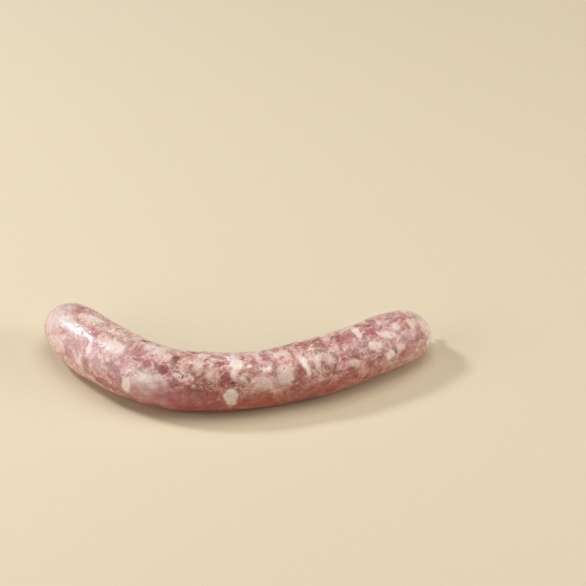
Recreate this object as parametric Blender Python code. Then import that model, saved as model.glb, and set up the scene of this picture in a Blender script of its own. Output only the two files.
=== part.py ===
"""One fresh coarse-ground pork sausage, lying on its side in a soft bend.

It is one solid: the filling in its casing, with the casing gathered and twisted shut at both ends.
Metres, +Z up. X runs along the longest side and the hollow of the bend faces +Y. The origin is on the
surface that the sausage lies on, under the middle of its box.
"""

import math

import bpy
from mathutils import Vector

# The middle line, from the pole of the thick end (-X) to the pole of the thin end (+X)
LENGTH = 0.2157
THICK_END_HEADING = math.radians(-58.8)
EVEN_BEND = math.radians(76.2)
ELBOW_BEND = math.radians(28.5)
ELBOW_PLACE, ELBOW_SPREAD = 0.350, 0.1245

# The radius: a slim core that is fuller towards both ends, most of all at the thick one
CORE_RADIUS = 0.01043
THICK_SWELL, THICK_SWELL_PLACE, THICK_SWELL_SPREAD = 0.00465, 0.179, 0.685
THIN_SWELL, THIN_SWELL_PLACE, THIN_SWELL_SPREAD = 0.00203, 0.827, 0.141

# The section sags a little under its own weight and is pressed flat where it lies
WIDTH_SHARE = 1.03
HEIGHT_SHARE = 0.975
FLAT_DEPTH = 0.0006

# Full and slack places of the filling: height, length of the wave, turns round the section, phase
LUMPS = (
    (0.00022, 0.078, 0, 3.00),
    (0.00018, 0.052, 0, 2.80),
    (0.00011, 0.036, 0, 0.85),
    (0.00020, 0.045, 1, -1.69),
    (0.00012, 0.033, 2, 4.00),
    (0.00008, 0.024, 3, 1.30),
)

# The domed ends: how far a dome runs along, and how blunt it is (2 is an ellipse)
THICK_DOME_LENGTH, THICK_DOME_BLUNTNESS = 0.0264, 2.18
THIN_DOME_LENGTH, THIN_DOME_BLUNTNESS = 0.0146, 2.03
POLE_DROP = 0.0036

# The casing gathered in pleats round each pole, drawn out into a short snout
PLEATS = 9
PLEAT_DEPTH = 0.13
PLEAT_REACH = 0.55
SNOUT_HEIGHT = 0.0014
SNOUT_REACH = 0.34
NECK_RADIUS = 0.00125

# The twisted knot of spare casing on the snout: distance from the neck and radius of each ring
KNOT_PROFILE = (
    (0.0006, 0.00118),
    (0.0012, 0.00150),
    (0.0019, 0.00200),
    (0.0027, 0.00222),
    (0.0035, 0.00205),
    (0.0042, 0.00145),
)
KNOT_LENGTH = 0.0046
KNOT_TILT = math.radians(26)
KNOT_TWIST = math.radians(150)
KNOT_RIDGES = 4
KNOT_RIDGE_DEPTH = 0.16

# How finely the surface is cut
AROUND = 36
BODY_RINGS = 56
DOME_RINGS = 13
LINE_STEPS = 600

SKIN_COLOUR = (0.52, 0.31, 0.27, 1.0)
SKIN_ROUGHNESS = 0.35


def bell(share, place, spread):
    """A smooth hump, 1 at its place along the sausage."""
    return math.exp(-(((share - place) / spread) ** 2))


def valley(angle):
    """0 on a ridge and 1 in the valley between two, as the angle turns."""
    return (1 - math.cos(angle)) / 2


def heading(share):
    """The middle line's direction from +X, in the XY plane."""
    elbow = math.erf((share - ELBOW_PLACE) / ELBOW_SPREAD) + math.erf(ELBOW_PLACE / ELBOW_SPREAD)
    return THICK_END_HEADING + EVEN_BEND * share + ELBOW_BEND * elbow / 2


def directions(share):
    """Forward along the middle line and sideways from it, both level."""
    turn = heading(share)
    return Vector((math.cos(turn), math.sin(turn), 0)), Vector((math.sin(turn), -math.cos(turn), 0))


def trace_middle_line():
    """Points along the middle line in the XY plane, LINE_STEPS equal steps from pole to pole."""
    points = [Vector((0, 0, 0))]
    for i in range(LINE_STEPS):
        forward, _ = directions((i + 0.5) / LINE_STEPS)
        points.append(points[-1] + forward * LENGTH / LINE_STEPS)
    return points


MIDDLE_LINE = trace_middle_line()


def middle_point(share):
    """The middle line's point at this share of its length, between two traced points."""
    place = min(max(share, 0), 1) * LINE_STEPS
    low = min(int(place), LINE_STEPS - 1)
    return MIDDLE_LINE[low].lerp(MIDDLE_LINE[low + 1], place - low)


def full_radius(share):
    """The body's radius, with the domes left out."""
    thick = THICK_SWELL * bell(share, THICK_SWELL_PLACE, THICK_SWELL_SPREAD)
    thin = THIN_SWELL * bell(share, THIN_SWELL_PLACE, THIN_SWELL_SPREAD)
    return CORE_RADIUS + thick + thin


def lump(share, angle):
    """How far the filling pushes the surface out here."""
    return sum(
        height * math.sin(2 * math.pi * share * LENGTH / wave + turns * angle + phase)
        for height, wave, turns, phase in LUMPS
    )


def body_ring(share, fullness, outward):
    """One ring round the middle line. fullness is 1 on the body and falls towards a pole.

    outward is -1 on the thick end's dome, 1 on the thin end's and 0 between them.
    """
    forward, side = directions(share)
    radius = full_radius(share)
    centre = middle_point(share)
    centre.z = radius * HEIGHT_SHARE - FLAT_DEPTH - POLE_DROP * (1 - fullness) ** 2
    centre += forward * outward * SNOUT_HEIGHT * max(0, 1 - fullness / SNOUT_REACH) ** 2
    pleat = PLEAT_DEPTH * max(0, 1 - fullness / PLEAT_REACH)
    ring = []
    for i in range(AROUND):
        angle = 2 * math.pi * i / AROUND
        reach = radius * fullness * (1 - pleat * valley(PLEATS * angle))
        reach += lump(share, angle) * fullness ** 2
        point = centre + side * math.cos(angle) * reach * WIDTH_SHARE
        point.z = max(0, point.z + math.sin(angle) * reach * HEIGHT_SHARE)
        ring.append(point)
    return ring


def dome_rings(outward):
    """Rings from the neck at a pole to where the body has its full radius."""
    thick = outward < 0
    length = THICK_DOME_LENGTH if thick else THIN_DOME_LENGTH
    bluntness = THICK_DOME_BLUNTNESS if thick else THIN_DOME_BLUNTNESS
    first = math.asin((NECK_RADIUS / full_radius(0 if thick else 1)) ** (bluntness / 2))
    rings = []
    for i in range(DOME_RINGS):
        angle = first + (math.pi / 2 - first) * i / DOME_RINGS
        fullness = math.sin(angle) ** (2 / bluntness)
        inset = (1 - math.cos(angle) ** (2 / bluntness)) * length / LENGTH
        rings.append(body_ring(inset if thick else 1 - inset, fullness, outward))
    return rings


def knot_rings(outward):
    """Rings of the knot from its tip to the neck, and its tip."""
    share = 0 if outward < 0 else 1
    forward, side = directions(share)
    away = forward * outward
    axis = away * math.cos(KNOT_TILT) - Vector((0, 0, math.sin(KNOT_TILT)))
    rise = away * math.sin(KNOT_TILT) + Vector((0, 0, math.cos(KNOT_TILT)))
    neck = sum(body_ring(share, NECK_RADIUS / full_radius(share), outward), Vector()) / AROUND
    rings = []
    for along, radius in reversed(KNOT_PROFILE):
        twist = KNOT_TWIST * along / KNOT_LENGTH
        ring = []
        for i in range(AROUND):
            angle = 2 * math.pi * i / AROUND
            reach = radius * (1 - KNOT_RIDGE_DEPTH * valley(KNOT_RIDGES * angle + twist))
            ring.append(neck + axis * along + (side * math.cos(angle) + rise * math.sin(angle)) * reach)
        rings.append(ring)
    return rings, neck + axis * KNOT_LENGTH


def sausage_rings():
    """Every ring from the thick end's knot to the thin end's, and the tips of the two knots."""
    thick_knot, thick_tip = knot_rings(-1)
    thin_knot, thin_tip = knot_rings(1)
    first = THICK_DOME_LENGTH / LENGTH
    last = 1 - THIN_DOME_LENGTH / LENGTH
    body = [body_ring(first + (last - first) * i / BODY_RINGS, 1, 0) for i in range(BODY_RINGS + 1)]
    return [*thick_knot, *dome_rings(-1), *body, *dome_rings(1)[::-1], *thin_knot[::-1]], thick_tip, thin_tip


def sausage_mesh():
    """The closed surface: four-sided faces between the rings, and a fan of triangles at each tip."""
    rings, thick_tip, thin_tip = sausage_rings()
    points = [point for ring in rings for point in ring] + [thick_tip, thin_tip]
    lowest = Vector((min(p.x for p in points), min(p.y for p in points), 0))
    highest = Vector((max(p.x for p in points), max(p.y for p in points), 0))
    middle = (lowest + highest) / 2
    last = (len(rings) - 1) * AROUND
    thick, thin = len(points) - 2, len(points) - 1
    faces = []
    for i in range(AROUND):
        j = (i + 1) % AROUND
        faces.append((thick, i, j))
        faces.append((thin, last + j, last + i))
        for row in range(0, last, AROUND):
            faces.append((row + i, row + i + AROUND, row + j + AROUND, row + j))
    mesh = bpy.data.meshes.new("sausage")
    mesh.from_pydata([point - middle for point in points], [], faces)
    mesh.shade_smooth()
    return mesh


def skin_material():
    """Moist raw filling seen through its casing."""
    material = bpy.data.materials.new("raw_sausage")
    material.use_nodes = True
    shader = material.node_tree.nodes["Principled BSDF"]
    shader.inputs["Base Color"].default_value = SKIN_COLOUR
    shader.inputs["Roughness"].default_value = SKIN_ROUGHNESS
    shader.inputs["Metallic"].default_value = 0.0
    return material


for old in list(bpy.data.objects):
    bpy.data.objects.remove(old)
sausage = bpy.data.objects.new("sausage", sausage_mesh())
sausage.data.materials.append(skin_material())
bpy.context.scene.collection.objects.link(sausage)
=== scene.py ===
"""A fresh coarse-ground pork sausage: its looks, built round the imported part. Lengths are metres unless named mm."""

import math
import random

import bpy
import numpy as np
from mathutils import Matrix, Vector, noise


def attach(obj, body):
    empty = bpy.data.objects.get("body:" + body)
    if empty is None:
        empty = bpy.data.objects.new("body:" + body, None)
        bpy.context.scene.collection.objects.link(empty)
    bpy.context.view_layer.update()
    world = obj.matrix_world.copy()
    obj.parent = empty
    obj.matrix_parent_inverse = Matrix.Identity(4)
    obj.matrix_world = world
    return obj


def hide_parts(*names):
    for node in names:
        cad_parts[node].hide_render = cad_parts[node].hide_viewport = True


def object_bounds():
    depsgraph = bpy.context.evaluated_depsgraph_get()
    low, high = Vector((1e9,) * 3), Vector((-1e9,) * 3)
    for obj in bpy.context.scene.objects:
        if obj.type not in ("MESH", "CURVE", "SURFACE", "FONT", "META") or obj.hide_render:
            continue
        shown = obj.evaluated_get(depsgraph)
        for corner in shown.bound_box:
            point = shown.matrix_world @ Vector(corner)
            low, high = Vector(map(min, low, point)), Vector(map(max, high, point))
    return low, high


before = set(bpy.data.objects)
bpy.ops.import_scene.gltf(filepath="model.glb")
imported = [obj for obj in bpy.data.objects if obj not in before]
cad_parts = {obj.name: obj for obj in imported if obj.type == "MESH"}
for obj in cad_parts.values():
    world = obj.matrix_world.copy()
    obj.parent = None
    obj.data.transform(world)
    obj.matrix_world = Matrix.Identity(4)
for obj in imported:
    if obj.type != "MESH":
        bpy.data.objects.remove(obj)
cad_low, cad_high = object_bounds()


# ---------------------------------------------------------------------------------------------------
# The stuffed casing. Coarse-ground pork is pushed into a length of natural casing, a film of gut well
# under 0.1 mm thick that clings to it. The link bends softly as it lies, sags a little under its own
# weight, and its filling pushes the film out unevenly. At each end the film is gathered in pleats.
# ---------------------------------------------------------------------------------------------------

LENGTH = 0.2157
THICK_END_HEADING = math.radians(-58.8)
EVEN_BEND = math.radians(76.2)
ELBOW_BEND = math.radians(28.5)
ELBOW_PLACE, ELBOW_SPREAD = 0.350, 0.1245
CORE_RADIUS = 0.01043
THICK_SWELL, THICK_SWELL_PLACE, THICK_SWELL_SPREAD = 0.00465, 0.179, 0.685
THIN_SWELL, THIN_SWELL_PLACE, THIN_SWELL_SPREAD = 0.00203, 0.827, 0.141
WIDTH_SHARE, HEIGHT_SHARE, FLAT_DEPTH = 1.03, 0.975, 0.0006
THICK_DOME_LENGTH, THICK_DOME_BLUNTNESS = 0.0264, 2.18
THIN_DOME_LENGTH, THIN_DOME_BLUNTNESS = 0.0146, 2.03
POLE_DROP = 0.0036
LUMPS = (
    (0.00022, 0.078, 0, 3.00),
    (0.00018, 0.052, 0, 2.80),
    (0.00011, 0.036, 0, 0.85),
    (0.00020, 0.045, 1, -1.69),
    (0.00012, 0.033, 2, 4.00),
    (0.00008, 0.024, 3, 1.30),
)
PLEATS = 9
PLEAT_DEPTH, PLEAT_REACH, PLEAT_SWIRL = 0.15, 0.55, 0.9
SNOUT_HEIGHT, SNOUT_REACH = 0.0014, 0.34
NECK_RADIUS = 0.00125
AROUND = 200
RINGS = 470
LINE_STEPS = 4000


def bell(share, place, spread):
    """A smooth hump, 1 at its place along the sausage."""
    return np.exp(-(((share - place) / spread) ** 2))


def heading(share):
    """The middle line's direction from +X, in the XY plane."""
    erf = np.vectorize(math.erf)
    elbow = erf((share - ELBOW_PLACE) / ELBOW_SPREAD) + math.erf(ELBOW_PLACE / ELBOW_SPREAD)
    return THICK_END_HEADING + EVEN_BEND * share + ELBOW_BEND * elbow / 2


def full_radius(share):
    """The body's radius, with the domed ends left out."""
    thick = THICK_SWELL * bell(share, THICK_SWELL_PLACE, THICK_SWELL_SPREAD)
    thin = THIN_SWELL * bell(share, THIN_SWELL_PLACE, THIN_SWELL_SPREAD)
    return CORE_RADIUS + thick + thin


def dome(distance, length, bluntness):
    """0 at a pole, rising to 1 where the dome ends."""
    left = 1 - np.clip(distance / length, 0, 1)
    return (1 - left ** bluntness) ** (1 / bluntness)


def fullness(share):
    """1 on the body, and less on the domes."""
    thick = dome(share * LENGTH, THICK_DOME_LENGTH, THICK_DOME_BLUNTNESS)
    thin = dome((1 - share) * LENGTH, THIN_DOME_LENGTH, THIN_DOME_BLUNTNESS)
    return thick * thin


def lump(share, angle):
    """How far the filling pushes the film out here, in long slow waves."""
    return sum(
        height * np.sin(2 * math.pi * share * LENGTH / wave + turns * angle + phase)
        for height, wave, turns, phase in LUMPS
    )


steps = (np.arange(LINE_STEPS) + 0.5) / LINE_STEPS
stride = LENGTH / LINE_STEPS
line_share = np.arange(LINE_STEPS + 1) / LINE_STEPS
line_x = np.concatenate([[0], np.cumsum(np.cos(heading(steps))) * stride])
line_y = np.concatenate([[0], np.cumsum(np.sin(heading(steps))) * stride])


def skin_point(share, angle, proud=0.0):
    """Points on the skin, and the same points on the straightened sausage. proud is extra height."""
    turn = heading(share)
    full = fullness(share)
    outward = np.where(share < 0.5, -1, 1)
    radius = full_radius(share)
    snout = outward * SNOUT_HEIGHT * np.maximum(0, 1 - full / SNOUT_REACH) ** 2
    gather = np.maximum(0, 1 - full / PLEAT_REACH)
    fold = PLEATS * angle + 0.8 * np.sin(2 * angle + outward) + PLEAT_SWIRL * gather ** 2 * PLEATS / 4
    reach = radius * full * (1 - PLEAT_DEPTH * gather * (1 - np.cos(fold)) / 2)
    reach = reach + lump(share, angle) * full ** 2 + proud
    across = reach * WIDTH_SHARE * np.cos(angle)
    height = reach * HEIGHT_SHARE * np.sin(angle)
    middle = radius * HEIGHT_SHARE - FLAT_DEPTH - POLE_DROP * (1 - full) ** 2
    x = np.interp(share, line_share, line_x) + np.cos(turn) * snout + np.sin(turn) * across
    y = np.interp(share, line_share, line_y) + np.sin(turn) * snout - np.cos(turn) * across
    bent = np.stack([x, y, np.maximum(0, middle + height)], axis=-1)
    straight = np.stack([share * LENGTH + snout, across, height], axis=-1)
    return bent, straight


def even_shares(count):
    """Shares of the length whose rings are evenly spaced along the skin, from neck to neck."""
    fine = (1 - np.cos(np.linspace(0, math.pi, 20001))) / 2
    profile = full_radius(fine) * fullness(fine)
    walked = np.concatenate([[0], np.cumsum(np.hypot(np.diff(fine * LENGTH), np.diff(profile)))])
    first = np.interp(NECK_RADIUS, profile[:2000], walked[:2000])
    last = walked[-1] - np.interp(NECK_RADIUS, profile[::-1][:2000], walked[:2000])
    return np.interp(np.linspace(first, last, count), walked, fine)


def skin_mesh(name, rings):
    """A mesh from rings of points, with a fan of triangles over each end."""
    count, around, _ = rings.shape
    points = np.concatenate([rings.reshape(-1, 3), rings[0].mean(0)[None], rings[-1].mean(0)[None]])
    faces = []
    for i in range(around):
        j = (i + 1) % around
        last = (count - 1) * around
        faces.append((count * around, i, j))
        faces.append((count * around + 1, last + j, last + i))
        for row in range(0, last, around):
            faces.append((row + i, row + i + around, row + j + around, row + j))
    mesh = bpy.data.meshes.new(name)
    mesh.from_pydata(points.tolist(), [], faces)
    mesh.shade_smooth()
    return mesh


# Pieces of fat and lean that show through the film on the side that lies to the front: distance along
# and half length in mm, angle round from the front, half width in mm, tilt, and tone from 0 to 1
FRONT_FAT = (
    (24, 12, 4.0, 3.0, 0, 0.35),
    (29, 96, 6.0, 2.4, 20, 0.55),
    (38, 8, 2.4, 2.0, 0, 0.5),
    (41.5, 44, 1.2, 3.8, 14, 0.95),
    (52, 67, 5.6, 3.2, 0, 0.65),
    (63.6, 7, 1.9, 3.9, 5, 0.95),
    (66.5, 100, 1.7, 4.2, -10, 0.6),
    (73.5, 98, 2.4, 4.6, 8, 0.55),
    (72, 33, 3.2, 2.2, 0, 0.6),
    (77, 37, 2.2, 1.6, 0, 0.4),
    (67.8, 24, 1.4, 1.7, 10, 0.45),
    (74.5, 22, 1.7, 1.3, -15, 0.4),
    (79.5, 27, 1.2, 1.5, 0, 0.35),
    (78, 85, 2.2, 2.4, 0, 0.45),
    (92.5, 74, 2.4, 3.6, 0, 0.25),
    (98, 52, 1.5, 2.2, 0, 0.15),
    (106.6, 9, 3.0, 3.9, 0, 0.95),
    (106.6, -3, 2.1, 3.2, 0, 0.85),
    (106.5, -11, 1.2, 3.2, 0, 0.4),
    (110.5, 76, 3.0, 3.6, 0, 0.95),
    (108.4, 57, 1.2, 2.2, 0, 0.65),
    (112, 44, 1.4, 1.1, 0, 0.7),
    (121, 90, 1.1, 2.6, 0, 0.7),
    (122, 33, 5.6, 3.3, -5, 0.3),
    (132, 40, 3.7, 4.8, 0, 0.5),
    (141.8, 53, 1.5, 5.2, 12, 1.0),
    (147.5, 50, 1.1, 3.2, 5, 0.3),
    (153.5, 50, 1.6, 3.2, 0, 0.35),
    (156.5, 98, 1.8, 2.6, -15, 0.4),
    (164.5, 28, 4.0, 1.7, -20, 0.55),
    (172.8, 92, 1.7, 4.6, -5, 0.9),
    (175.7, 48, 1.5, 1.9, 0, 0.95),
    (183, 18, 2.1, 2.3, -25, 0.95),
    (185.5, 59, 3.8, 2.2, -25, 0.85),
    (189.7, 24, 2.1, 1.7, -20, 0.5),
    (192, 67, 1.9, 2.4, 0, 0.75),
    (200.2, 61, 1.0, 3.2, 0, 0.75),
    (206, 53, 2.1, 3.4, 0, 0.5),
)
FRONT_LEAN = (
    (18.5, 100, 1.7, 4.5, 12, 0.3),
    (10, 91, 2.4, 2.6, 0, 0.25),
    (24, 42, 2.8, 1.3, -5, 0.3),
    (33, 35, 4.4, 2.3, -10, 0.35),
    (31.5, 12, 2.6, 2.9, 15, 0.5),
    (38.5, 105, 1.5, 2.8, 0, 0.25),
    (40, 70, 1.2, 2.1, 0, 0.6),
    (42.3, 8, 2.2, 4.2, 15, 0.6),
    (47.5, 30, 2.3, 1.9, 0, 0.5),
    (52, -10, 4.2, 2.8, 0, 0.7),
    (56, 31, 3.6, 2.1, -10, 0.75),
    (57.6, 80, 1.2, 2.8, 0, 0.25),
    (64, 78, 3.2, 4.2, -5, 0.4),
    (70, 58, 1.9, 2.0, 0, 0.45),
    (77.5, 56, 2.4, 2.2, 0, 1.0),
    (80.8, 47, 1.3, 1.8, 0, 0.6),
    (82, 31, 2.6, 2.4, 10, 0.65),
    (84.5, 90, 1.0, 2.2, -15, 0.25),
    (87, 14, 4.5, 3.2, 0, 0.3),
    (95, 5, 3.0, 3.8, 0, 0.55),
    (96, 73, 1.4, 1.8, -20, 0.65),
    (94.7, 65, 1.0, 1.8, 0, 0.45),
    (101.8, 60, 3.3, 1.2, 0, 0.35),
    (105, 47, 2.1, 2.9, 10, 0.6),
    (103, 36, 1.8, 1.6, 0, 0.7),
    (118.5, 79, 1.3, 2.4, -10, 0.4),
    (125, 88, 2.1, 1.8, 0, 0.45),
    (124, 47, 3.8, 1.0, 0, 0.3),
    (127.5, 62, 1.3, 3.0, -10, 0.55),
    (131, 112, 2.0, 3.0, 0, 0.3),
    (138.8, 42, 1.4, 6.0, 5, 0.5),
    (137.8, 70, 1.0, 3.0, 5, 0.45),
    (145, 92, 1.4, 1.6, 0, 0.35),
    (153.8, 28, 1.5, 1.8, 0, 0.5),
    (154.5, 88, 1.6, 2.2, 0, 0.4),
    (162.6, 86, 1.2, 3.8, -25, 0.6),
    (166.5, 84, 3.4, 3.8, 0, 0.35),
    (166, 40, 2.2, 1.4, -10, 0.75),
    (172.5, 18, 2.6, 2.8, 0, 0.5),
    (179, 77, 3.4, 2.0, 15, 0.55),
    (183, 40, 1.5, 1.4, 0, 0.5),
    (194, 32, 4.2, 1.7, -6, 0.4),
    (192, 8, 5.0, 2.6, 0, 0.35),
    (202, 38, 1.4, 2.8, 15, 0.5),
    (194, 118, 3.0, 1.5, 0, 0.25),
)
# Dark grey-brown marks of clotted blood, gristle and pepper
FRONT_MARKS = (
    (20.5, 43, 0.9, 0.5, -20, 0.4),
    (25, 26, 0.8, 0.5, 20, 0.5),
    (47.5, 84, 0.7, 0.5, 0, 0.5),
    (51.2, 83, 0.9, 0.5, 0, 0.5),
    (55, 92, 0.8, 0.5, -20, 0.5),
    (63.5, 30, 0.7, 0.5, 0, 0.6),
    (67.7, 35, 1.1, 0.5, -25, 0.5),
    (68.5, 58, 0.7, 0.6, 0, 0.6),
    (77.6, 69.5, 1.4, 0.5, 0, 0.7),
    (82, 71, 0.6, 0.6, 0, 0.6),
    (86.6, 47, 0.5, 1.0, 0, 0.9),
    (88.5, 31, 1.1, 0.6, 20, 0.5),
    (91, 57, 0.5, 1.0, 0, 0.5),
    (91.8, 36, 1.3, 0.6, -20, 0.6),
    (107.7, 36.5, 0.9, 0.8, 0, 1.0),
    (107.9, 7, 0.45, 0.45, 0, 0.9),
    (103.8, -7, 0.6, 0.5, 0, 0.8),
    (112, 27, 1.0, 0.6, 0, 0.7),
    (112.6, 57, 0.8, 0.6, 0, 0.5),
    (114.6, 41, 0.6, 1.8, 5, 0.7),
    (116.2, 62, 0.6, 0.5, 0, 0.8),
    (121, 54.5, 1.0, 0.5, 0, 0.9),
    (135.2, 22, 0.7, 0.5, 0, 0.9),
    (144, 31, 0.8, 0.5, 0, 0.9),
    (150.2, 48, 0.6, 0.7, 0, 0.8),
    (151, 72, 1.0, 0.8, 0, 0.5),
    (150, 10, 1.7, 0.7, -30, 0.5),
    (157, 51, 0.7, 1.5, 10, 0.5),
    (177.5, -13, 1.6, 0.7, -40, 0.9),
    (185, 79, 1.7, 0.5, 50, 0.7),
    (186.3, 21, 1.4, 0.7, 60, 1.0),
    (201.8, 75, 0.7, 1.0, 0, 0.4),
)
# Broad areas of fatter or leaner mince, and three of painted light and shade marked below: place, half
# length, angle and half width as above, then how much lighter, how much warmer (below 0 towards mauve), and how milky
# the film lies over them
FRONT_AREAS = (
    (13, 42, 8, 8, 0.02, 0.2, 0.46),
    (10, 88, 5, 6, -0.06, 0.4, 0.20),
    # Painted highlight: a pale, milky band laid along the highlight on the thick end
    (28, 60, 10, 3, 0.10, 0.2, 0.40),
    # Painted shade: a darker band just above the highlight on the thick end
    (28, 74, 9, 3.0, -0.14, -0.2, 0.0),
    (19, 100, 4, 5, -0.10, 0.8, 0.0),
    (30, 95, 7, 5, 0.11, 1.0, 0.05),
    (47, 103, 9, 5, 0.08, 1.0, 0.05),
    (33, 33, 6, 5, -0.05, -0.4, 0.20),
    (36, -5, 10, 5, 0.06, -0.3, 0.05),
    (52, 66, 7, 4, 0.06, 0.2, 0.24),
    (56, 33, 5, 4, -0.12, -0.3, 0.10),
    (47, 28, 4, 3, -0.02, -0.5, 0.15),
    (64, 78, 5, 6, -0.10, -0.4, 0.05),
    (72, 35, 7, 4, 0.13, -0.6, 0.30),
    # Painted light: the low side of the thick half is made lighter, standing in for light from the front left
    (47, 17, 22, 9, 0.09, -0.9, 0.10),
    (72, 12, 6, 5, 0.02, -1.0, 0.20),
    (73, 100, 9, 6, 0.12, 1.1, 0.0),
    (88, 15, 8, 6, -0.08, -1.0, 0.0),
    (82, 30, 4, 3, -0.06, -1.0, 0.0),
    (80, -2, 12, 6, 0.00, -0.9, 0.10),
    (87, 42, 5, 5, 0.03, 1.0, 0.0),
    (92, 85, 8, 6, 0.09, 0.9, 0.0),
    (92, 58, 26, 7, -0.12, 0.5, 0.0),
    (98, 22, 8, 5, -0.12, 0.0, 0.0),
    (110, 76, 5, 5, 0.12, 0.6, 0.0),
    (105, 105, 8, 4, 0.06, 0.4, 0.0),
    (103, 50, 4, 4, -0.10, 0.3, 0.0),
    (121, 33, 6, 4, 0.0, 0.7, 0.0),
    (115, 52, 4, 3, -0.04, 0.5, 0.0),
    (125, 100, 9, 5, 0.04, 0.3, 0.0),
    (132, 42, 4.5, 6, 0.06, 0.8, 0.0),
    (125, 68, 6, 5, 0.04, 0.2, 0.0),
    (149, 52, 6, 6, -0.05, 0.4, 0.0),
    (150, 100, 8, 6, -0.12, 0.0, 0.0),
    (147, 78, 6, 4, -0.03, 0.2, 0.0),
    (165, 88, 6, 7, -0.15, -0.2, 0.0),
    (160, 45, 7, 5, -0.06, -0.3, 0.0),
    (170, 52, 5, 5, -0.01, -0.4, 0.10),
    (178, 76, 5, 3.5, -0.10, -0.6, 0.0),
    (190, 100, 9, 5, 0.02, 0.1, 0.0),
    (195, 28, 8, 6, -0.12, -0.3, 0.10),
    (208, 85, 5, 8, 0.12, 0.1, 0.15),
    (211, 20, 4, 9, 0.30, 0.2, 0.35),
    (190, 0, 12, 5, 0.10, 0.2, 0.0),
)
DEPTH_FLOOR = -3.0
FRONT_LOW, FRONT_HIGH = -45, 125


def strewn(count, seed, smallest, largest):
    """Pieces strewn at random over the side that lies to the back, sized in mm like those in front."""
    draw = random.Random(seed)
    pieces = []
    for _ in range(count):
        along = draw.uniform(6, LENGTH * 1000 - 6)
        angle = draw.uniform(FRONT_HIGH + 6, 360 + FRONT_LOW - 6)
        size = draw.uniform(smallest, largest)
        slim = draw.uniform(0.35, 0.9)
        pieces.append((along, angle, size, size * slim, draw.uniform(-90, 90), draw.uniform(0, 1) ** 1.5 * 0.8))
    return pieces


def strewn_areas(count, seed):
    """Broad areas over the side that lies to the back, as mixed as those in front."""
    draw = random.Random(seed)
    areas = []
    for _ in range(count):
        along = draw.uniform(8, LENGTH * 1000 - 8)
        angle = draw.uniform(FRONT_HIGH + 10, 360 + FRONT_LOW - 10)
        size = draw.uniform(4, 9)
        lighter = draw.uniform(-0.16, 0.14)
        areas.append((along, angle, size, size * draw.uniform(0.6, 1), lighter, draw.uniform(-0.8, 0.6), 0.1))
    return areas


def piece_axes(along, angle, tilt):
    """A place on the straight skin, in mm, and the unit axes along, across and out of a piece there."""
    share = along / 1000 / LENGTH
    turn = math.radians(angle)
    centre = skin_point(share, turn)[1] * 1000
    lengthwise = skin_point(share + 0.002, turn)[1] - skin_point(share - 0.002, turn)[1]
    roundwise = skin_point(share, turn + 0.02)[1] - skin_point(share, turn - 0.02)[1]
    lengthwise = lengthwise / np.linalg.norm(lengthwise)
    roundwise = roundwise / np.linalg.norm(roundwise)
    lean = math.radians(tilt)
    long_axis = lengthwise * math.cos(lean) + roundwise * math.sin(lean)
    wide_axis = roundwise * math.cos(lean) - lengthwise * math.sin(lean)
    return centre, long_axis, wide_axis, np.cross(lengthwise, roundwise)


def area_fields(points_mm, areas):
    """How much lighter, warmer and milkier each point is made by the broad areas round it."""
    fields = np.zeros((3, len(points_mm)))
    for along, angle, half_long, half_wide, *gains in areas:
        centre, long_axis, wide_axis, outwards = piece_axes(along, angle, 0)
        away = points_mm - centre
        far = (
            (away @ long_axis / half_long) ** 2
            + (away @ wide_axis / half_wide) ** 2
            + (away @ outwards / max(half_long, half_wide)) ** 2
        )
        fields += np.outer(gains, np.exp(-far * 0.9))
    return fields


def noise_mm(points_mm, grain):
    """Smooth noise from -1 to 1 whose grains are this many mm across."""
    return np.array([noise.noise(Vector(point) / grain) for point in points_mm])


def nearness(points_mm, pieces, square):
    """How deep each point lies in the nearest piece, in mm and below 0 outside it, and its tone. square is 2
    for oval pieces, and more for squarer ones."""
    depth = np.full(len(points_mm), DEPTH_FLOOR)
    tone = np.zeros(len(points_mm))
    for along, angle, half_long, half_wide, tilt, piece_tone in pieces:
        centre, long_axis, wide_axis, outwards = piece_axes(along, angle, tilt)
        away = points_mm - centre
        narrow = min(half_long, half_wide)
        far = (
            np.abs(away @ long_axis / half_long) ** square
            + np.abs(away @ wide_axis / half_wide) ** square
            + np.abs(away @ outwards / max(half_long, half_wide)) ** square
        ) ** (1 / square)
        inside = (1 - far) * narrow
        nearer = inside > depth
        depth[nearer] = inside[nearer]
        tone[nearer] = piece_tone
    return depth, tone


FAT_BULGE_MM = 0.10
LEAN_BULGE_MM = 0.05
COARSE_LUMP_MM, COARSE_GRAIN_MM = 0.07, 4.5
FINE_LUMP_MM, FINE_GRAIN_MM = 0.03, 1.9
PRESSED_MM, PRESSED_GRAIN_MM = 0.7, 3.0

share_grid, angle_grid = np.meshgrid(
    even_shares(RINGS), np.arange(AROUND) * 2 * math.pi / AROUND, indexing="ij"
)
smooth_mm = skin_point(share_grid, angle_grid)[1].reshape(-1, 3) * 1000
# The pieces are cut by a coarse plate and pressed out of shape, so the skin they are set on is warped
pressed = np.stack([noise_mm(smooth_mm + 50 * (axis + 1), PRESSED_GRAIN_MM) for axis in range(3)], axis=-1)
pressed_mm = smooth_mm + PRESSED_MM * pressed
fat_depth, fat_tone = nearness(pressed_mm, [*FRONT_FAT, *strewn(34, 3, 0.9, 3.6)], 2.05)
lean_depth, lean_tone = nearness(pressed_mm, [*FRONT_LEAN, *strewn(34, 7, 0.9, 3.6)], 2.2)
mark_depth, mark_tone = nearness(pressed_mm, [*FRONT_MARKS, *strewn(40, 11, 0.4, 1.4)], 2.0)
lighter, warmer, milky_film_and_painted_light = area_fields(smooth_mm, [*FRONT_AREAS, *strewn_areas(40, 5)])
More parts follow.
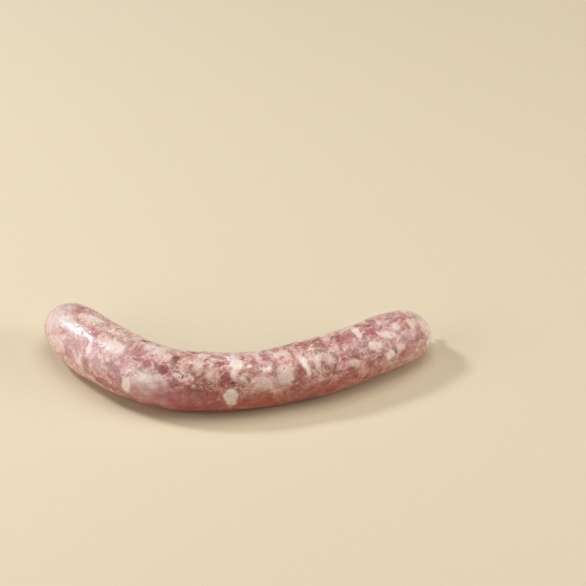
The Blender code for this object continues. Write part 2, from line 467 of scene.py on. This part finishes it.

# Painted shade: the low side, but for the two ends, is made darker and redder, unevenly, standing in for the shade
# under the sausage and the warm light from below
PAINTED_SHADE_FROM_MM, PAINTED_SHADE_TO_MM = 9.0, -4.0
UNEVEN_MM, UNEVEN_GRAIN_MM = 5.0, 9.0
along_mm = smooth_mm[:, 0]
height_mm = smooth_mm[:, 2] + UNEVEN_MM * noise_mm(smooth_mm + 90, UNEVEN_GRAIN_MM)
low_side_share = np.clip((height_mm - PAINTED_SHADE_FROM_MM) / (PAINTED_SHADE_TO_MM - PAINTED_SHADE_FROM_MM), 0, 1)
off_ends = np.clip((along_mm - 45) / 35, 0, 1) * np.clip((205 - along_mm) / 60, 0, 1)
low_side_painted_shade = low_side_share ** 2 * (3 - 2 * low_side_share) * off_ends

# Towards the necks the film is gathered thick, and hides the mince
gathered = np.maximum(0, 1 - fullness(share_grid).ravel() / 0.6)
milky_film_and_painted_light = np.clip(milky_film_and_painted_light + 0.75 * gathered, 0, 0.85)

# The mince shows calmer in the painted shade of the low side, under milky film, and over the thick end
thick_calm, thin_calm = np.clip((75 - along_mm) / 40, 0, 1), np.clip((along_mm - 175) / 20, 0, 1)
calm = np.clip(0.25 * low_side_painted_shade + milky_film_and_painted_light + 0.5 * thick_calm + 0.4 * thin_calm, 0, 1)
proud_mm = FAT_BULGE_MM * np.clip(fat_depth + 0.5, 0, 1) + LEAN_BULGE_MM * np.clip(lean_depth + 0.5, 0, 1)
proud_mm += COARSE_LUMP_MM * noise_mm(smooth_mm, COARSE_GRAIN_MM)
proud_mm += FINE_LUMP_MM * noise_mm(smooth_mm, FINE_GRAIN_MM)
full_grid = fullness(share_grid)
proud = proud_mm.reshape(share_grid.shape) / 1000 * np.clip(full_grid * 2 - 0.3, 0, 1)
bent, straight = skin_point(share_grid, angle_grid, proud)
smooth_bent = skin_point(share_grid, angle_grid)[0].reshape(-1, 3)
bent -= np.array([smooth_bent[:, 0].min() - cad_low.x, smooth_bent[:, 1].min() - cad_low.y, 0])

body_mesh = skin_mesh("stuffed_casing", bent)
body = bpy.data.objects.new("stuffed_casing", body_mesh)
bpy.context.scene.collection.objects.link(body)


def with_ends(values):
    """A ring grid's values, and those of the middle points of the first and last ring."""
    flat = values.reshape(values.shape[0] * values.shape[1], -1)
    return np.concatenate([flat, values[0].mean(0).reshape(1, -1), values[-1].mean(0).reshape(1, -1)])


def store(mesh, name, values):
    """Stores a value or a vector for each point of a mesh."""
    vector = values.shape[1] == 3
    layer = mesh.attributes.new(name, "FLOAT_VECTOR" if vector else "FLOAT", "POINT")
    layer.data.foreach_set("vector" if vector else "value", values.astype(np.float32).ravel())


grid = share_grid.shape
store(body_mesh, "rest_mm", with_ends(straight) * 1000)
store(body_mesh, "fat_depth_mm", with_ends(fat_depth.reshape(grid)))
store(body_mesh, "fat_tone", with_ends(fat_tone.reshape(grid)))
store(body_mesh, "lean_depth_mm", with_ends(lean_depth.reshape(grid)))
store(body_mesh, "lean_tone", with_ends(lean_tone.reshape(grid)))
store(body_mesh, "mark_depth_mm", with_ends(mark_depth.reshape(grid)))
store(body_mesh, "mark_tone", with_ends(mark_tone.reshape(grid)))
store(body_mesh, "lighter", with_ends(lighter.reshape(grid)))
store(body_mesh, "warmer", with_ends(warmer.reshape(grid)))
store(body_mesh, "milky_film_and_painted_light", with_ends(milky_film_and_painted_light.reshape(grid)))
# How much painted shade lies on the low side
store(body_mesh, "low_side_painted_shade", with_ends(low_side_painted_shade.reshape(grid)))
store(body_mesh, "calm", with_ends(calm.reshape(grid)))

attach(body, "root")
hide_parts("sausage")


def colour(hex_code):
    """A linear colour from an sRGB hex value."""
    parts = [int(hex_code[i:i + 2], 16) / 255 for i in (1, 3, 5)]
    return (*(p / 12.92 if p <= 0.04045 else ((p + 0.055) / 1.055) ** 2.4 for p in parts), 1.0)


def add_node(tree, kind, inputs=None, **settings):
    """Adds a node with its settings. inputs gives a value or an output for each input's name or number."""
    node = tree.nodes.new(kind)
    for name, value in settings.items():
        setattr(node, name, value)
    for key, value in (inputs or {}).items():
        if isinstance(value, bpy.types.NodeSocket):
            tree.links.new(value, node.inputs[key])
        else:
            node.inputs[key].default_value = value
    return node


# Raw minced pork under wet hog casing: moist, soft and slightly see-through, so light goes a few mm in
# and comes out redder, with a thin glossy film over it.
meat = bpy.data.materials.new("raw_minced_pork_in_wet_hog_casing")
meat.use_nodes = True
tree = meat.node_tree
shader = tree.nodes["Principled BSDF"]


def warped(source, grain_mm, reach_mm, detail):
    """The source's place pushed about by noise, so that nothing in a pattern has a clean outline."""
    drift = add_node(tree, "ShaderNodeTexNoise", {"Vector": source, "Scale": 1 / grain_mm, "Detail": detail})
    centred = add_node(
        tree, "ShaderNodeVectorMath", {0: drift.outputs["Color"], 1: (0.5, 0.5, 0.5)}, operation="SUBTRACT"
    )
    scaled = add_node(
        tree, "ShaderNodeVectorMath", {0: centred.outputs[0], "Scale": reach_mm}, operation="SCALE"
    )
    return add_node(
        tree, "ShaderNodeVectorMath", {0: source, 1: scaled.outputs[0]}, operation="ADD"
    ).outputs[0]


rest = add_node(tree, "ShaderNodeAttribute", attribute_name="rest_mm").outputs["Vector"]
lighter_here = add_node(tree, "ShaderNodeAttribute", attribute_name="lighter").outputs["Fac"]
warmer_here = add_node(tree, "ShaderNodeAttribute", attribute_name="warmer").outputs["Fac"]
milky_film_and_painted_light_here = add_node(tree, "ShaderNodeAttribute", attribute_name="milky_film_and_painted_light").outputs["Fac"]
# How much painted shade lies on the low side
low_side_painted_shade_here = add_node(tree, "ShaderNodeAttribute", attribute_name="low_side_painted_shade").outputs["Fac"]
calm_here = add_node(tree, "ShaderNodeAttribute", attribute_name="calm").outputs["Fac"]
smeared = warped(rest, 8.0, 9.0, 2.0)
torn = warped(smeared, 2.4, 2.6, 3.0)

# The paste: crumbs of fat and lean 1 to 6 mm across, smeared into each other, with a fine grain
broad = add_node(
    tree, "ShaderNodeTexNoise", {"Vector": smeared, "Scale": 1 / 5.0, "Detail": 1.5, "Roughness": 0.5}
)
lumps = add_node(
    tree,
    "ShaderNodeTexVoronoi",
    {"Vector": torn, "Scale": 1 / 4.0, "Smoothness": 0.6},
    feature="SMOOTH_F1",
)
crumbs = add_node(
    tree,
    "ShaderNodeTexVoronoi",
    {"Vector": torn, "Scale": 1 / 1.9, "Smoothness": 0.7},
    feature="SMOOTH_F1",
)
grain = add_node(
    tree, "ShaderNodeTexNoise", {"Vector": rest, "Scale": 1 / 0.8, "Detail": 2.0, "Roughness": 0.6}
)
lump_tone = add_node(tree, "ShaderNodeSeparateColor", {"Color": lumps.outputs["Color"]}).outputs["Red"]
crumb_tone = add_node(tree, "ShaderNodeSeparateColor", {"Color": crumbs.outputs["Color"]}).outputs["Red"]
lively = add_node(
    tree, "ShaderNodeMath", {0: calm_here, 1: -0.5, 2: 1.0}, operation="MULTIPLY_ADD"
).outputs[0]
tone = 0.5
for part, middle, weight in (
    (broad.outputs["Fac"], 0.5, 0.75),
    (lump_tone, 0.5, 0.38),
    (crumb_tone, 0.5, 0.52),
    (grain.outputs["Fac"], 0.5, 0.45),
):
    swing = add_node(tree, "ShaderNodeMath", {0: part, 1: middle}, operation="SUBTRACT").outputs[0]
    swing = add_node(tree, "ShaderNodeMath", {0: swing, 1: weight}, operation="MULTIPLY").outputs[0]
    tone = add_node(tree, "ShaderNodeMath", {0: swing, 1: lively, 2: tone}, operation="MULTIPLY_ADD").outputs[0]
tone = add_node(tree, "ShaderNodeMath", {0: tone, 1: lighter_here}, operation="ADD").outputs[0]
# Painted shade: the tone is darker over the low side
tone = add_node(
    tree, "ShaderNodeMath", {0: low_side_painted_shade_here, 1: -0.15, 2: tone}, operation="MULTIPLY_ADD"
).outputs[0]

PASTE_TONES = (
    (0.00, "#8A493F"),
    (0.16, "#A3685E"),
    (0.32, "#BD857A"),
    (0.46, "#D09B8D"),
    (0.60, "#DDB0A2"),
    (0.76, "#E6C6B8"),
    (1.00, "#F4E2D6"),
)
paste = add_node(tree, "ShaderNodeValToRGB", {"Fac": tone})
while len(paste.color_ramp.elements) < len(PASTE_TONES):
    paste.color_ramp.elements.new(0.5)
for stop, (stop_place, hex_code) in zip(paste.color_ramp.elements, PASTE_TONES):
    stop.position = stop_place
    stop.color = colour(hex_code)
surface = paste.outputs["Color"]

# Painted shade: over the low side the colour is mixed towards a flatter, deeper red brown
painted_shade_share = add_node(tree, "ShaderNodeMath", {0: low_side_painted_shade_here, 1: 0.76}, operation="MULTIPLY").outputs[0]
surface = add_node(
    tree, "ShaderNodeMix", {0: painted_shade_share, 6: surface, 7: colour("#AC3B2B")}, data_type="RGBA"
).outputs[2]

# Creases between the crumbs: broken dark lines about 0.3 mm wide, where blood and juice gather
edge = add_node(tree, "ShaderNodeTexNoise", {"Vector": rest, "Scale": 1 / 1.9, "Detail": 4.0, "Roughness": 0.7})
crease = add_node(
    tree, "ShaderNodeTexVoronoi", {"Vector": torn, "Scale": 1 / 3.0}, feature="DISTANCE_TO_EDGE"
)
crease_line = add_node(
    tree,
    "ShaderNodeMapRange",
    {"Value": crease.outputs["Distance"], "From Min": 0.16, "From Max": 0.02},
    interpolation_type="SMOOTHSTEP",
)
broken = add_node(
    tree,
    "ShaderNodeMapRange",
    {"Value": edge.outputs["Fac"], "From Min": 0.48, "From Max": 0.60, "To Max": 0.6},
    interpolation_type="SMOOTHSTEP",
)
crease_cover = add_node(
    tree, "ShaderNodeMath", {0: crease_line.outputs[0], 1: broken.outputs[0]}, operation="MULTIPLY"
)
surface = add_node(
    tree,
    "ShaderNodeMix",
    {0: crease_cover.outputs[0], 6: surface, 7: colour("#85604F")},
    data_type="RGBA",
).outputs[2]

# Flecks: small dark bits of gristle, blood and spice, thick in some places and absent in others
fleck = add_node(tree, "ShaderNodeTexNoise", {"Vector": torn, "Scale": 1 / 1.2, "Detail": 3.0, "Roughness": 0.65})
fleck_cover = add_node(
    tree,
    "ShaderNodeMapRange",
    {"Value": fleck.outputs["Fac"], "From Min": 0.53, "From Max": 0.67, "To Max": 0.75},
    interpolation_type="SMOOTHSTEP",
)
clusters = add_node(tree, "ShaderNodeTexNoise", {"Vector": rest, "Scale": 1 / 11.0, "Detail": 2.0})
clustered = add_node(
    tree,
    "ShaderNodeMapRange",
    {"Value": clusters.outputs["Fac"], "From Min": 0.40, "From Max": 0.60},
    interpolation_type="SMOOTHSTEP",
)
fleck_share = add_node(
    tree, "ShaderNodeMath", {0: fleck_cover.outputs[0], 1: clustered.outputs[0]}, operation="MULTIPLY"
)
open_film = add_node(tree, "ShaderNodeMath", {0: 1.0, 1: calm_here}, operation="SUBTRACT")
fleck_share = add_node(
    tree, "ShaderNodeMath", {0: fleck_share.outputs[0], 1: open_film.outputs[0]}, operation="MULTIPLY"
)
surface = add_node(
    tree,
    "ShaderNodeMix",
    {0: fleck_share.outputs[0], 6: surface, 7: colour("#75503F")},
    data_type="RGBA",
).outputs[2]

# Strands of pale sinew and fat drawn out thin by the plate, 0.2 to 0.4 mm wide
drawn = add_node(tree, "ShaderNodeTexNoise", {"Vector": torn, "Scale": 1 / 5.5, "Detail": 2.0, "Roughness": 0.6})
off_line = add_node(tree, "ShaderNodeMath", {0: drawn.outputs["Fac"], 1: 0.5}, operation="SUBTRACT")
off_line = add_node(tree, "ShaderNodeMath", {0: off_line.outputs[0]}, operation="ABSOLUTE")
strand = add_node(
    tree,
    "ShaderNodeMapRange",
    {"Value": off_line.outputs[0], "From Min": 0.030, "From Max": 0.0},
    interpolation_type="SMOOTHSTEP",
)
parted = add_node(
    tree,
    "ShaderNodeMapRange",
    {"Value": edge.outputs["Fac"], "From Min": 0.52, "From Max": 0.42, "To Max": 0.6},
    interpolation_type="SMOOTHSTEP",
)
strand_cover = add_node(
    tree, "ShaderNodeMath", {0: strand.outputs[0], 1: parted.outputs[0]}, operation="MULTIPLY"
)
# The pale strands fade out under the painted shade of the low side
outside_painted_shade = add_node(tree, "ShaderNodeMath", {0: 1.0, 1: low_side_painted_shade_here}, operation="SUBTRACT")
strand_cover = add_node(
    tree, "ShaderNodeMath", {0: strand_cover.outputs[0], 1: outside_painted_shade.outputs[0]}, operation="MULTIPLY"
)
surface = add_node(
    tree,
    "ShaderNodeMix",
    {0: strand_cover.outputs[0], 6: surface, 7: colour("#F0DACB")},
    data_type="RGBA",
).outputs[2]

# The paste's hue drifts from mauve to beige, and from greyer to pinker
hue_noise = add_node(
    tree, "ShaderNodeTexNoise", {"Vector": torn, "Scale": 1 / 5.0, "Detail": 2.0, "Roughness": 0.7, "W": 3.0},
    noise_dimensions="4D",
)
hue_drift = add_node(
    tree, "ShaderNodeMapRange",
    {"Value": hue_noise.outputs["Fac"], "From Min": 0.3, "From Max": 0.7, "To Min": 0.478, "To Max": 0.520},
)
hue = add_node(
    tree, "ShaderNodeMath", {0: warmer_here, 1: 0.014, 2: hue_drift.outputs[0]}, operation="MULTIPLY_ADD"
)
richness_noise = add_node(tree, "ShaderNodeSeparateColor", {"Color": hue_noise.outputs["Color"]})
richness = add_node(
    tree, "ShaderNodeMapRange",
    {"Value": richness_noise.outputs["Green"], "From Min": 0.3, "From Max": 0.7, "To Min": 0.80, "To Max": 1.12},
)
surface = add_node(
    tree, "ShaderNodeHueSaturation", {"Hue": hue.outputs[0], "Saturation": richness.outputs[0], "Color": surface}
).outputs["Color"]

# Lean, fat and dark marks over the paste. Each piece's ragged edge is its depth field pushed about by
# noise, and the palest fade out over a millimetre.
ragged = add_node(
    tree,
    "ShaderNodeMapRange",
    {"Value": edge.outputs["Fac"], "From Min": 0.25, "From Max": 0.75, "To Min": -1.0, "To Max": 1.0},
).outputs[0]
streaks = add_node(tree, "ShaderNodeTexNoise", {"Vector": torn, "Scale": 1 / 1.3, "Detail": 3.0, "Roughness": 0.6})
for name, dark, light, frayed_mm, blur_mm, sharper, toned, streaky, start in (
    ("lean", "#86332E", "#C38077", 1.0, 1.5, -0.9, -1.0, 2.6, 0.35),
    ("fat", "#DCB2A3", "#F8EADD", 0.9, 1.5, -0.8, 0.6, 1.8, 0.75),
    ("mark", "#6E4A3C", "#A07C6C", 0.3, 0.55, -0.2, -1.0, 1.6, -0.35),
):
    depth = add_node(tree, "ShaderNodeAttribute", attribute_name=f"{name}_depth_mm").outputs["Fac"]
    strength = add_node(tree, "ShaderNodeAttribute", attribute_name=f"{name}_tone").outputs["Fac"]
    frayed_here = add_node(
        tree, "ShaderNodeMath", {0: strength, 1: -0.65 * frayed_mm, 2: frayed_mm}, operation="MULTIPLY_ADD"
    )
    worn = add_node(
        tree, "ShaderNodeMath", {0: ragged, 1: frayed_here.outputs[0], 2: depth}, operation="MULTIPLY_ADD"
    )
    blur = add_node(tree, "ShaderNodeMath", {0: strength, 1: sharper, 2: blur_mm}, operation="MULTIPLY_ADD")
    outer = add_node(tree, "ShaderNodeMath", {0: blur.outputs[0], 1: -1.0}, operation="MULTIPLY")
    cover = add_node(
        tree,
        "ShaderNodeMapRange",
        {"Value": worn.outputs[0], "From Min": outer.outputs[0], "From Max": blur.outputs[0]},
        interpolation_type="SMOOTHSTEP",
    )
    dense = add_node(tree, "ShaderNodeMath", {0: strength, 1: 0.42, 2: 0.52}, operation="MULTIPLY_ADD")
    covered = add_node(tree, "ShaderNodeMath", {0: cover.outputs[0], 1: dense.outputs[0]}, operation="MULTIPLY")
    swing = add_node(
        tree, "ShaderNodeMath", {0: streaks.outputs["Fac"], 1: streaky, 2: -start}, operation="MULTIPLY_ADD"
    )
    swing = add_node(
        tree, "ShaderNodeMath", {0: strength, 1: toned, 2: swing.outputs[0]}, operation="MULTIPLY_ADD",
        use_clamp=True,
    )
    own = add_node(
        tree, "ShaderNodeMix", {0: swing.outputs[0], 6: colour(dark), 7: colour(light)}, data_type="RGBA"
    )
    surface = add_node(
        tree, "ShaderNodeMix", {0: covered.outputs[0], 6: surface, 7: own.outputs[2]}, data_type="RGBA"
    ).outputs[2]

# Specks of pepper and clotted blood, 0.4 to 1 mm across, in about one cell of three
frayed = warped(rest, 0.9, 0.9, 1.0)
speck = add_node(tree, "ShaderNodeTexVoronoi", {"Vector": frayed, "Scale": 1 / 2.4}, feature="F1")
speck_kind = add_node(tree, "ShaderNodeSeparateColor", {"Color": speck.outputs["Color"]})
speck_size = add_node(
    tree,
    "ShaderNodeMapRange",
    {"Value": speck_kind.outputs["Red"], "From Min": 0.68, "From Max": 1.0, "To Min": 0.04, "To Max": 0.24},
)
speck_size = add_node(
    tree, "ShaderNodeMath", {0: calm_here, 1: -0.25, 2: speck_size.outputs[0]}, operation="MULTIPLY_ADD"
)
speck_depth = add_node(
    tree, "ShaderNodeMath", {0: speck_size.outputs[0], 1: speck.outputs["Distance"]}, operation="SUBTRACT"
)
speck_cover = add_node(
    tree,
    "ShaderNodeMapRange",
    {"Value": speck_depth.outputs[0], "From Min": -0.08, "From Max": 0.12, "To Max": 0.7},
    interpolation_type="SMOOTHSTEP",
)
speck_colour = add_node(
    tree,
    "ShaderNodeMix",
    {0: speck_kind.outputs["Green"], 6: colour("#6B5544"), 7: colour("#70403C")},
    data_type="RGBA",
)
surface = add_node(
    tree,
    "ShaderNodeMix",
    {0: speck_cover.outputs[0], 6: surface, 7: speck_colour.outputs[2]},
    data_type="RGBA",
).outputs[2]

# The film over it, milky where it is doubled or loose, most of all over the thick end. The same pale mix also lays a
# painted highlight along the shine on the thick end, and some painted light on its low side
surface = add_node(
    tree,
    "ShaderNodeMix",
    {0: milky_film_and_painted_light_here, 6: surface, 7: colour("#E4DDD5")},
    data_type="RGBA",
).outputs[2]

# Low relief under and in the film: crumbs 1 to 2 mm across that stand up to 0.05 mm proud, and loose
# folds of film about 3 mm apart and 0.1 mm high, which break the shine into patches
relief = add_node(
    tree, "ShaderNodeBump", {"Height": crumb_tone, "Distance": 0.00005, "Strength": 1.0}
)
film_folds = add_node(
    tree, "ShaderNodeTexNoise", {"Vector": smeared, "Scale": 1 / 2.8, "Detail": 2.0, "Roughness": 0.5}
)
film = add_node(
    tree, "ShaderNodeBump", {"Height": film_folds.outputs["Fac"], "Distance": 0.0004, "Strength": 1.0}
)
film_over_relief = add_node(
    tree,
    "ShaderNodeBump",
    {"Height": film_folds.outputs["Fac"], "Distance": 0.0004, "Strength": 1.0, "Normal": relief.outputs[0]},
)
tree.links.new(film_over_relief.outputs[0], shader.inputs["Normal"])
tree.links.new(film.outputs[0], shader.inputs["Coat Normal"])

tree.links.new(surface, shader.inputs["Base Color"])

# Wetter and drier patches of film
damp = add_node(tree, "ShaderNodeTexNoise", {"Vector": smeared, "Scale": 1 / 7.0, "Detail": 4.0, "Roughness": 0.6})
dryness = add_node(
    tree,
    "ShaderNodeMapRange",
    {"Value": damp.outputs["Fac"], "From Min": 0.35, "From Max": 0.65, "To Min": 0.36, "To Max": 0.54},
)
tree.links.new(dryness.outputs[0], shader.inputs["Roughness"])
shader.inputs["IOR"].default_value = 1.40
shader.inputs["Subsurface Weight"].default_value = 0.35
shader.inputs["Subsurface Radius"].default_value = (1.0, 0.40, 0.25)
shader.inputs["Subsurface Scale"].default_value = 0.0025
shader.inputs["Specular IOR Level"].default_value = 0.3
shader.inputs["Coat Weight"].default_value = 0.70
shader.inputs["Coat Roughness"].default_value = 0.17
shader.inputs["Coat IOR"].default_value = 1.42
body.data.materials.append(meat)


# ---------------------------------------------------------------------------------------------------
# The twisted ends. Where two links were parted, the empty casing past the filling is a tight rope that
# was twisted round and has dried to a hard, creased bead of two lobes, yellower than the wet film.
# ---------------------------------------------------------------------------------------------------

TWIST_PROFILE_MM = (
    (-0.8, 1.30),
    (0.0, 1.15),
    (0.45, 1.00),
    (1.15, 1.65),
    (1.60, 1.70),
    (2.05, 1.30),
    (2.60, 1.85),
    (3.30, 2.15),
    (4.00, 1.90),
    (4.40, 1.30),
    (4.58, 0.50),
)
TWIST_TILT = math.radians(26)
THIN_TWIST_BENT_BACK = math.radians(32)
TWIST_TURN_PER_MM = math.radians(40)
TWIST_RIDGES, TWIST_RIDGE_DEPTH = 4, 0.20
PLY_RIDGES, PLY_DEPTH = 13, 0.06
TWIST_AROUND, TWIST_RINGS = 72, 56
CRUMPLE_MM, CRUMPLE_GRAIN_MM = 0.22, 1.3

dried = bpy.data.materials.new("dried_twisted_casing")
dried.use_nodes = True
tree = dried.node_tree
shader = tree.nodes["Principled BSDF"]
along_twist = add_node(tree, "ShaderNodeAttribute", attribute_name="along_mm").outputs["Fac"]
hollow_here = add_node(tree, "ShaderNodeAttribute", attribute_name="hollow").outputs["Fac"]
twist_rest = add_node(tree, "ShaderNodeAttribute", attribute_name="twist_mm").outputs["Vector"]
DRIED_TONES = (
    (0.00, "#DDBFB0"),
    (0.15, "#C99C7C"),
    (0.30, "#C49A63"),
    (0.42, "#8F5A43"),
    (0.55, "#DCC48E"),
    (1.00, "#ECDDB0"),
)
far_out = add_node(
    tree, "ShaderNodeMapRange", {"Value": along_twist, "From Min": -0.5, "From Max": 4.6}
).outputs[0]
dried_colour = add_node(tree, "ShaderNodeValToRGB", {"Fac": far_out})
while len(dried_colour.color_ramp.elements) < len(DRIED_TONES):
    dried_colour.color_ramp.elements.new(0.5)
for stop, (stop_place, hex_code) in zip(dried_colour.color_ramp.elements, DRIED_TONES):
    stop.position = stop_place
    stop.color = colour(hex_code)
mottle = add_node(tree, "ShaderNodeTexNoise", {"Vector": twist_rest, "Scale": 1 / 0.9, "Detail": 3.0})
# Painted shade: the hollows between the twist's ridges and plies are mixed towards dark brown, patchily
shade = add_node(
    tree, "ShaderNodeMath", {0: hollow_here, 1: mottle.outputs["Fac"]}, operation="MULTIPLY"
).outputs[0]
dried_surface = add_node(
    tree,
    "ShaderNodeMix",
    {0: shade, 6: dried_colour.outputs["Color"], 7: colour("#8A5A3E")},
    data_type="RGBA",
).outputs[2]
tree.links.new(dried_surface, shader.inputs["Base Color"])
dried_dull = add_node(
    tree,
    "ShaderNodeMapRange",
    {"Value": mottle.outputs["Fac"], "From Min": 0.3, "From Max": 0.7, "To Min": 0.30, "To Max": 0.50},
)
wrinkles = add_node(
    tree, "ShaderNodeTexNoise", {"Vector": twist_rest, "Scale": 1 / 0.5, "Detail": 3.0, "Roughness": 0.6}
)
wrinkled = add_node(
    tree, "ShaderNodeBump", {"Height": wrinkles.outputs["Fac"], "Distance": 0.0001, "Strength": 1.0}
)
tree.links.new(dried_dull.outputs[0], shader.inputs["Roughness"])
tree.links.new(wrinkled.outputs[0], shader.inputs["Normal"])
tree.links.new(wrinkled.outputs[0], shader.inputs["Coat Normal"])
shader.inputs["IOR"].default_value = 1.45
shader.inputs["Subsurface Weight"].default_value = 0.3
shader.inputs["Subsurface Radius"].default_value = (1.0, 0.6, 0.3)
shader.inputs["Subsurface Scale"].default_value = 0.001
shader.inputs["Coat Weight"].default_value = 0.4
shader.inputs["Coat Roughness"].default_value = 0.2


def twist_of_casing(name, neck, turn, outward):
    """The rope and bead of casing that grows outwards and down from a neck."""
    away = Vector((math.cos(turn), math.sin(turn), 0)) * outward
    side = Vector((math.sin(turn), -math.cos(turn), 0))
    axis = away * math.cos(TWIST_TILT) - Vector((0, 0, math.sin(TWIST_TILT)))
    rise = away * math.sin(TWIST_TILT) + Vector((0, 0, math.cos(TWIST_TILT)))
    marks, radii = zip(*TWIST_PROFILE_MM)
    along = np.linspace(marks[0], marks[-1], TWIST_RINGS)
    along_grid, turn_grid = np.meshgrid(
        along, np.arange(TWIST_AROUND) * 2 * math.pi / TWIST_AROUND, indexing="ij"
    )
    twisted = turn_grid + TWIST_TURN_PER_MM * along_grid
    ridge = (1 - np.cos(TWIST_RIDGES * twisted)) / 2
    ply = (1 - np.cos(PLY_RIDGES * twisted)) / 2
    reach = np.interp(along_grid, marks, radii) * (1 - TWIST_RIDGE_DEPTH * ridge - PLY_DEPTH * ply)
    flat = np.stack(
        [along_grid, reach * np.cos(turn_grid), reach * np.sin(turn_grid)], axis=-1
    )
    crumple = noise_mm(flat.reshape(-1, 3) + 40 * outward, CRUMPLE_GRAIN_MM).reshape(along_grid.shape)
    reach = reach + CRUMPLE_MM * crumple * np.clip(along_grid, 0, 1)
    points = (
        np.array(neck)
        + along_grid[..., None] * np.array(axis) / 1000
        + (reach * np.cos(turn_grid))[..., None] * np.array(side) / 1000
        + (reach * np.sin(turn_grid))[..., None] * np.array(rise) / 1000
    )
    points[..., 2] = np.maximum(points[..., 2], 0)
    mesh = skin_mesh(name, points)
    store(mesh, "twist_mm", with_ends(flat))
    store(mesh, "along_mm", with_ends(along_grid))
    store(mesh, "hollow", with_ends(np.clip(0.7 * ridge + 0.5 * ply, 0, 1)))
    mesh.materials.append(dried)
    twist = bpy.data.objects.new(name, mesh)
    bpy.context.scene.collection.objects.link(twist)
    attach(twist, "root")
    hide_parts("sausage")
    return twist


twist_of_casing("thick_end_twist", bent[0].mean(0), heading(np.array(0.0)), -1)
twist_of_casing("thin_end_twist", bent[-1].mean(0), heading(np.array(1.0)) + THIN_TWIST_BENT_BACK, 1)


# ---------------------------------------------------------------------------------------------------
# The floor, the light and the camera. A plain pale floor; a small cool key from the upper left and
# behind, a large soft light overhead, softer ones low on the right and the front left, and a tent of light.
# ---------------------------------------------------------------------------------------------------

FLOOR_HALF = 3.0
floor_mesh = bpy.data.meshes.new("floor")
corners = [(-FLOOR_HALF, -FLOOR_HALF, 0), (FLOOR_HALF, -FLOOR_HALF, 0),
           (FLOOR_HALF, FLOOR_HALF, 0), (-FLOOR_HALF, FLOOR_HALF, 0)]
floor_mesh.from_pydata(corners, [], [(0, 1, 2, 3)])
floor = bpy.data.objects.new("floor", floor_mesh)
bpy.context.scene.collection.objects.link(floor)
paper = bpy.data.materials.new("matt_pale_paper")
paper.use_nodes = True
paper.node_tree.nodes["Principled BSDF"].inputs["Base Color"].default_value = colour("#DCCBAA")
paper.node_tree.nodes["Principled BSDF"].inputs["Roughness"].default_value = 0.8
floor_mesh.materials.append(paper)


def softbox(name, place, aim, size, watts, tint):
    """A square area light at a place, turned to what it lights."""
    light = bpy.data.lights.new(name, "AREA")
    light.shape = "SQUARE"
    light.size = size
    light.energy = watts
    light.color = colour(tint)[:3]
    lamp = bpy.data.objects.new(name, light)
    lamp.location = place
    lamp.rotation_euler = (Vector(aim) - Vector(place)).to_track_quat("-Z", "Y").to_euler()
    bpy.context.scene.collection.objects.link(lamp)
    return lamp


softbox("key", (-0.733, 0.321, 0.76), (0, 0, 0), 0.18, 7.0, "#E6EEFF")
softbox("overhead", (0.15, 0.05, 1.30), (0, 0, 0), 1.0, 8.8, "#FFFFFF")
softbox("right", (1.05, -0.15, 0.50), (0, 0, 0), 0.7, 6.8, "#FFFFFF")
softbox("left", (-1.05, -0.45, 0.40), (0, 0, 0), 1.0, 8.0, "#FFFFFF")

# A soft tent of light: bright overhead, dimmer towards the horizon
world = bpy.data.worlds.new("light_tent")
world.use_nodes = True
sky = world.node_tree
direction = add_node(sky, "ShaderNodeTexCoord").outputs["Generated"]
upward = add_node(sky, "ShaderNodeSeparateXYZ", {"Vector": direction}).outputs["Z"]
brightness = add_node(
    sky, "ShaderNodeMapRange", {"Value": upward, "From Min": 0.0, "From Max": 0.9, "To Min": 0.38, "To Max": 0.92}
)
sky.links.new(brightness.outputs[0], sky.nodes["Background"].inputs["Strength"])
bpy.context.scene.world = world

bpy.context.scene.view_settings.view_transform = "Standard"

CAMERA_ELEVATION = math.radians(37.5)
CAMERA_DISTANCE = 2.325
CAMERA_LENS_MM = 285.7
CAMERA_AIM = Vector((0.0267, 0.0663, 0))
camera_data = bpy.data.cameras.new("camera")
camera_data.lens = CAMERA_LENS_MM
camera_data.sensor_width = 36
camera = bpy.data.objects.new("camera", camera_data)
sight = Vector((0, math.cos(CAMERA_ELEVATION), -math.sin(CAMERA_ELEVATION)))
camera.location = CAMERA_AIM - sight * CAMERA_DISTANCE
camera.rotation_euler = sight.to_track_quat("-Z", "Y").to_euler()
bpy.context.scene.collection.objects.link(camera)
bpy.context.scene.camera = camera
